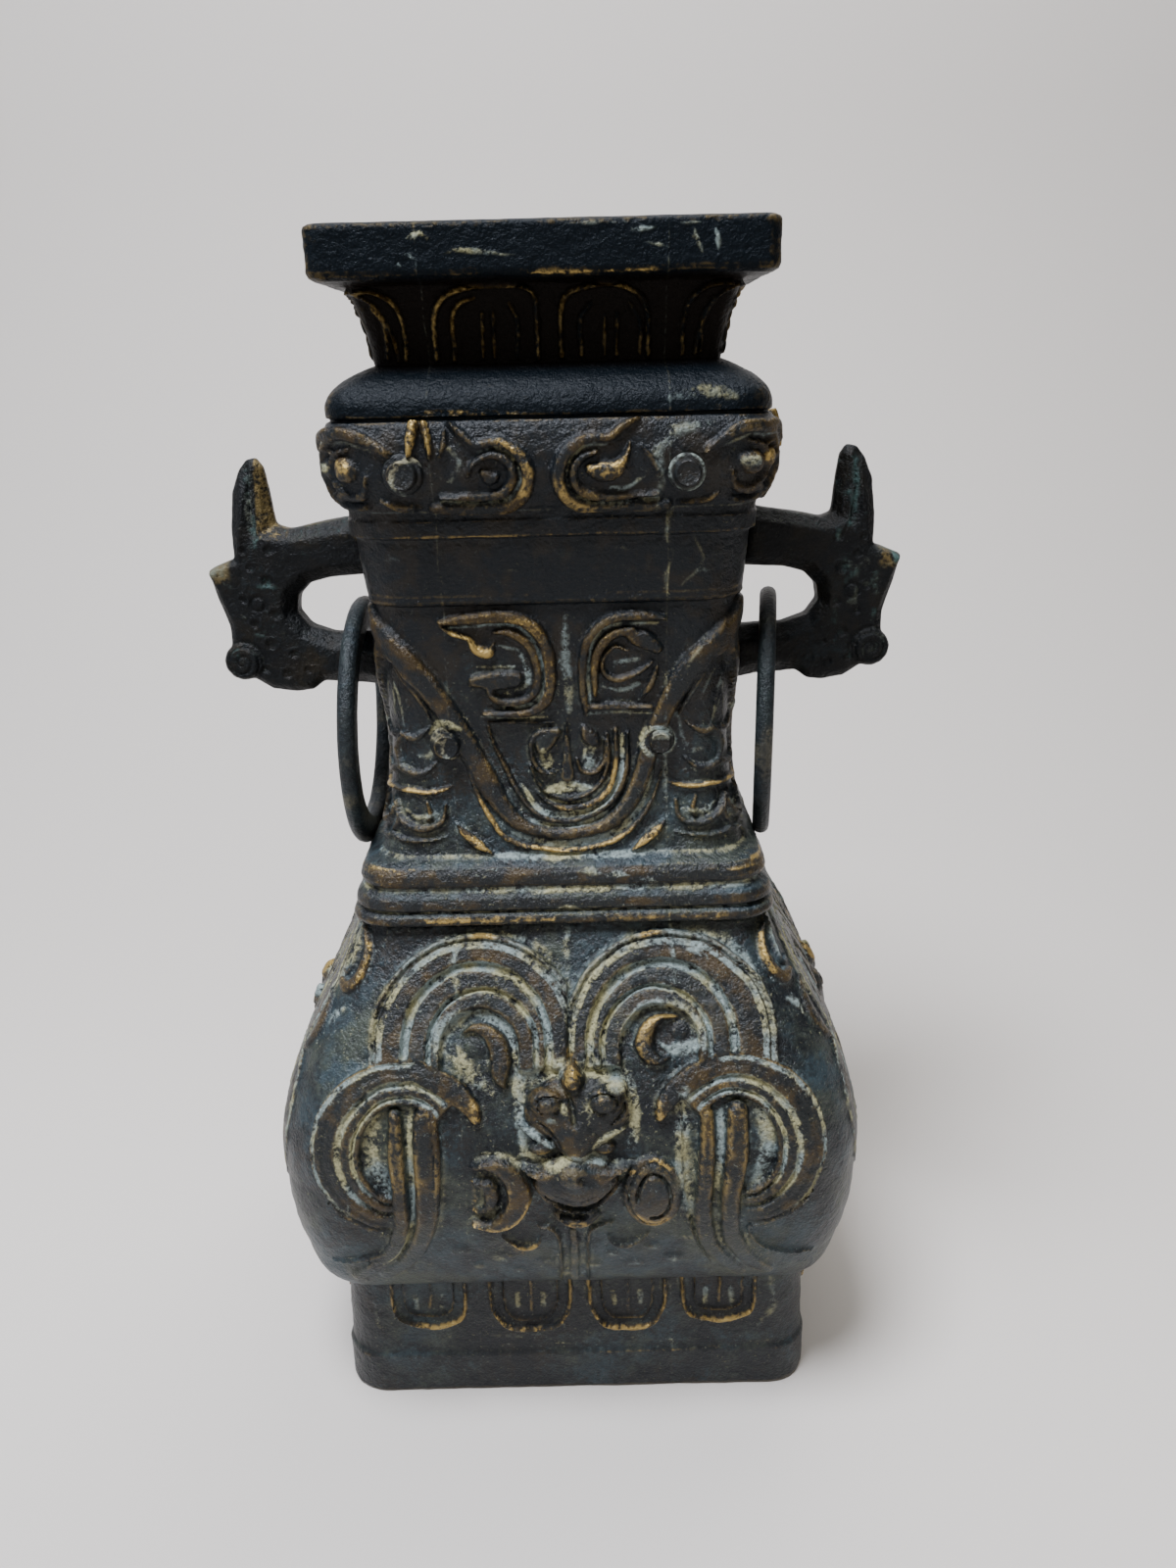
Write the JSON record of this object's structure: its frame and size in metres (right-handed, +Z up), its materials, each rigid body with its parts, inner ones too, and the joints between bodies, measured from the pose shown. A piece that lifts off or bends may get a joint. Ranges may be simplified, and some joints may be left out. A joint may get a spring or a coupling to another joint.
{
  "type": "square bronze hu vessel",
  "caption": "Tall hollow bronze wine vessel of rounded square plan, with a flanged open mouth, cast bands, dragon-head loop handles and loose hanging rings.",
  "frame": {"origin": "centre of the foot on the ground the vessel stands on", "axes": "+Z up through the mouth, -Y the front face seen in the picture, handles along -X and +X"},
  "size_m": [0.2276, 0.187, 0.38],
  "materials": {
    "bronze_body": "cast bronze, dark brown and blue-black patina, pale grey-green in the recesses, golden metal on rubbed edges",
    "bronze_handle": "cast bronze, black patina, slightly pitted",
    "bronze_ring": "wrought bronze, dark blue-grey, worn smooth"
  },
  "bodies": {
    "vessel": {"hu_body": "bronze_body", "handle_left": "bronze_handle", "handle_right": "bronze_handle"},
    "left_ring": {"ring_left": "bronze_ring"},
    "right_ring": {"ring_right": "bronze_ring"}
  },
  "joints": [
    {"name": "ring_left_swing", "type": "hinge", "parent": "vessel", "child": "left_ring", "pos_m": [-0.0664, 0, 0.2516], "axis": [1, 0, 0], "range_deg": [-50, 50]},
    {"name": "ring_right_swing", "type": "hinge", "parent": "vessel", "child": "right_ring", "pos_m": [0.0704, 0, 0.2516], "axis": [1, 0, 0], "range_deg": [-50, 50]}
  ]
}
